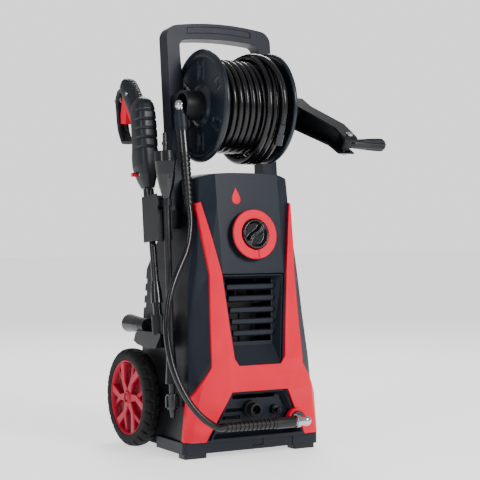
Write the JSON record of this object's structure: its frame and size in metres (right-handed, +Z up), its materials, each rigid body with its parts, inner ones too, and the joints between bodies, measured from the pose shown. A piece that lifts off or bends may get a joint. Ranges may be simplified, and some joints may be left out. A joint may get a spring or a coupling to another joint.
{
  "type": "pressure washer",
  "caption": "Upright electric pressure washer with a hose reel and folding crank on a carrying frame, two wheels, a stored spray gun and a spare lance.",
  "frame": {"origin": "on the floor, on the middle plane of the body, under the front edge of the base tray", "axes": "+X to the right of someone who faces the front, -Y towards the front, +Z up along the height"},
  "size_m": [0.4852, 0.3864, 0.8744],
  "materials": {
    "slate_plastic": "fine grained dark slate plastic, satin",
    "black_plastic": "fine grained black plastic, satin",
    "gloss_black": "smooth black plastic",
    "red_plastic": "smooth coral red plastic, semi-gloss",
    "tyre": "black moulded tread",
    "hose_rubber": "smooth glossy black hose cover",
    "soft_rubber": "matt black boots and feet",
    "chrome_fitting": "polished",
    "zinc_steel": "zinc plated, satin",
    "black_tube": "black coated tube, semi-gloss",
    "cast_aluminium": "cast, matt",
    "lamination_steel": "machined"
  },
  "bodies": {
    "body": {"base_tray": "slate_plastic", "front_feet": "soft_rubber", "rear_housing": "black_plastic", "front_cover": "slate_plastic", "red_fascia": "red_plastic", "upper_grille": "black_plastic", "lower_grille": "black_plastic", "knob_boss": "black_plastic", "knob_ring": "red_plastic", "switch_box": "black_plastic", "capacitor": "gloss_black", "motor_body": "cast_aluminium", "pump_head": "cast_aluminium", "housing_screws": "zinc_steel", "handle_frame": "slate_plastic", "reel_bracket_left": "black_plastic", "reel_bracket_right": "black_plastic", "hub_swivel": "chrome_fitting", "hose_nut": "gloss_black", "hose_sleeve": "gloss_black", "upper_relief": "soft_rubber", "link_hose": "hose_rubber", "lower_relief": "soft_rubber", "outlet_elbow": "chrome_fitting", "outlet_union": "black_plastic", "water_inlet": "black_plastic", "detergent_nipple": "gloss_black", "cable_gland": "black_plastic", "wheel_axle": "zinc_steel", "side_holder": "black_plastic", "nozzle_rest": "black_plastic"},
    "left_wheel": {"left_rim": "red_plastic", "left_tyre": "tyre"},
    "right_wheel": {"right_rim": "red_plastic", "right_tyre": "tyre"},
    "rotor": {"motor_rotor": "lamination_steel"},
    "knob": {"switch_knob": "gloss_black"},
    "reel": {"reel_core": "black_plastic", "reel_flange_left": "slate_plastic", "reel_flange_right": "slate_plastic", "reel_hose": "hose_rubber", "hose_coupling": "chrome_fitting", "crank_arm": "black_plastic", "crank_pin": "zinc_steel"},
    "knuckle": {"crank_knuckle": "black_plastic"},
    "grip": {"crank_grip": "black_plastic"},
    "gun": {"gun_shell_left": "slate_plastic", "gun_shell_right": "slate_plastic", "gun_inlet": "gloss_black", "gun_screws": "zinc_steel"},
    "trigger": {"trigger": "red_plastic"},
    "trigger_lock": {"trigger_lock": "black_plastic"},
    "gun_button": {"gun_button": "red_plastic"},
    "wand": {"gun_wand": "black_tube", "gun_nozzle": "black_plastic"},
    "lance": {"spare_lance": "black_tube", "lance_shield": "black_plastic", "lance_nozzle": "black_plastic"},
    "nozzle_collar": {"nozzle_collar": "black_plastic"},
    "turbo_nozzle": {"turbo_nozzle": "black_plastic"}
  },
  "joints": [
    {"name": "left_wheel_spin", "type": "hinge", "parent": "body", "child": "left_wheel", "pos_m": [-0.16, 0.211, 0.101], "axis": [1, 0, 0], "continuous": true},
    {"name": "right_wheel_spin", "type": "hinge", "parent": "body", "child": "right_wheel", "pos_m": [0.16, 0.211, 0.101], "axis": [1, 0, 0], "continuous": true},
    {"name": "motor_spin", "type": "hinge", "parent": "body", "child": "rotor", "pos_m": [0, 0.12, 0.2], "axis": [0, 0, 1], "continuous": true},
    {"name": "switch_turn", "type": "hinge", "parent": "body", "child": "knob", "pos_m": [0, 0.00896, 0.437], "axis": [0, -0.9886, 0.1504], "range_deg": [0, 90]},
    {"name": "reel_spin", "type": "hinge", "parent": "body", "child": "reel", "pos_m": [0.001, 0.077, 0.697], "axis": [1, 0, 0], "continuous": true},
    {"name": "crank_fold", "type": "hinge", "parent": "reel", "child": "knuckle", "pos_m": [0.189, -0.0529, 0.622], "axis": [0, 0.5, -0.866], "range_deg": [0, 90]},
    {"name": "grip_spin", "type": "hinge", "parent": "knuckle", "child": "grip", "pos_m": [0.24, -0.0529, 0.622], "axis": [1, 0, 0], "continuous": true},
    {"name": "gun_lift", "type": "slide", "parent": "body", "child": "gun", "axis": [0, 0.165, 0.9863], "range_m": [0, 0.3]},
    {"name": "trigger_pull", "type": "hinge", "parent": "gun", "child": "trigger", "pos_m": [-0.161, 0.1865, 0.66481], "axis": [1, 0, 0], "range_deg": [0, 8], "stiffness_Nm_per_rad": 1.2, "springref_deg": -20.05},
    {"name": "trigger_catch", "type": "hinge", "parent": "trigger", "child": "trigger_lock", "pos_m": [-0.161, 0.24963, 0.67249], "axis": [1, 0, 0], "range_deg": [0, 20]},
    {"name": "lance_release", "type": "slide", "parent": "gun", "child": "gun_button", "axis": [1, 0, 0], "range_m": [0, 0.005], "stiffness_N_per_m": 300, "springref_m": -0.004},
    {"name": "wand_twist", "type": "hinge", "parent": "gun", "child": "wand", "pos_m": [-0.161, 0.143, 0.52], "axis": [0, 0.165, 0.9863], "range_deg": [0, 45]},
    {"name": "lance_out", "type": "slide", "parent": "body", "child": "lance", "axis": [-1, 0, 0], "range_m": [0, 0.12]},
    {"name": "spray_adjust", "type": "hinge", "parent": "lance", "child": "nozzle_collar", "pos_m": [-0.161, 0.038, 0.08], "axis": [0, 0.061, 0.9981], "range_deg": [0, 120]},
    {"name": "turbo_out", "type": "slide", "parent": "body", "child": "turbo_nozzle", "axis": [0, 1, 0], "range_m": [0, 0.06]}
  ]
}
